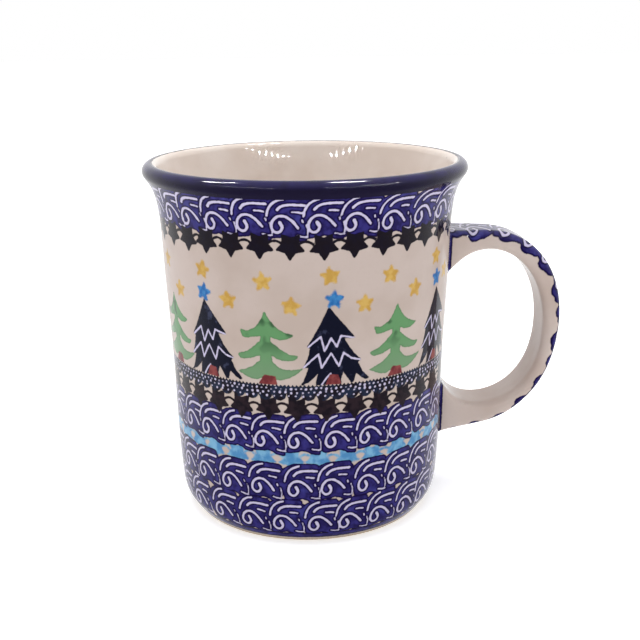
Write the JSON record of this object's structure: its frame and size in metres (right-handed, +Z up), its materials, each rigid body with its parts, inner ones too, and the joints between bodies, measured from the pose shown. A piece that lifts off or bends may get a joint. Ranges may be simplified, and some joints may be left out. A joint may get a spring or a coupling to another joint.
{
  "type": "mug",
  "caption": "Stoneware coffee mug with a rolled flared lip, a strap handle and an unglazed foot ring; holds a hot drink.",
  "frame": {"origin": "centre of the foot ring's resting plane, on the cup's axis", "axes": "+Z up along the cup's axis, +X towards the handle, +Y to the left of the handle seen from above"},
  "size_m": [0.1205, 0.0916, 0.1015],
  "materials": {
    "stoneware_clay": "matte",
    "cream_glaze": "gloss",
    "cobalt_band_glaze": "gloss",
    "decorated_glaze": "gloss"
  },
  "bodies": {
    "root": {"cup_body": "stoneware_clay", "handle": "stoneware_clay", "upper_slip_joint": "stoneware_clay", "lower_slip_joint": "stoneware_clay", "inner_glaze": "cream_glaze", "underside_glaze": "cream_glaze", "rim_glaze": "cobalt_band_glaze", "outer_glaze": "decorated_glaze", "handle_glaze": "decorated_glaze"}
  },
  "joints": []
}
